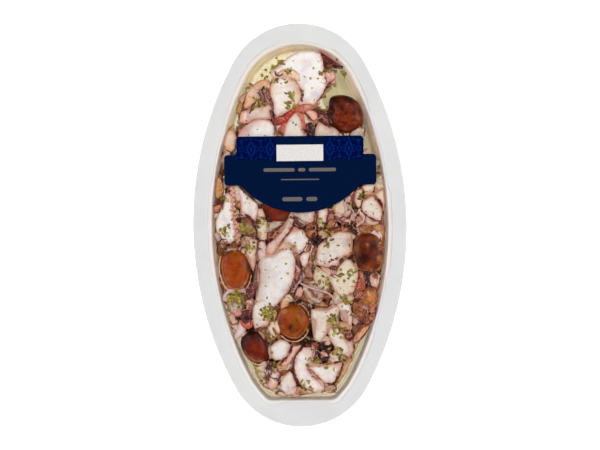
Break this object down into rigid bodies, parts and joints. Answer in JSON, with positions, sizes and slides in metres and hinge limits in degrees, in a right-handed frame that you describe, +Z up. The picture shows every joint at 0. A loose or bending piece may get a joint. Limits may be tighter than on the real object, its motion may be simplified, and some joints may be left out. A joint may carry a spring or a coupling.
{
  "type": "sealed tray of marinated octopus with olives",
  "caption": "Oval clear tray of sliced octopus in oil with whole olives and herbs, sealed by a clear film that carries a paper label.",
  "frame": {"origin": "middle of the tray's foot, on the surface it stands on", "axes": "+Z up through the film, +Y along the tray from its cut-off end to its round end, +X across it"},
  "size_m": [0.1154, 0.2178, 0.0138],
  "materials": {
    "tray": "milky, half clear",
    "film": "clear film",
    "label": "satin printed",
    "octopus": "wet cooked flesh",
    "marinade": "clear oil",
    "olive_brown": "oiled skin",
    "olive_dark": "oiled skin"
  },
  "bodies": {
    "root": {"tray": "tray", "film": "film", "label": "label", "octopus": "octopus", "marinade": "marinade", "olive_1": "olive_dark", "olive_2": "olive_dark", "olive_3": "olive_brown", "olive_4": "olive_dark", "olive_5": "olive_brown", "olive_6": "olive_dark"}
  },
  "joints": []
}
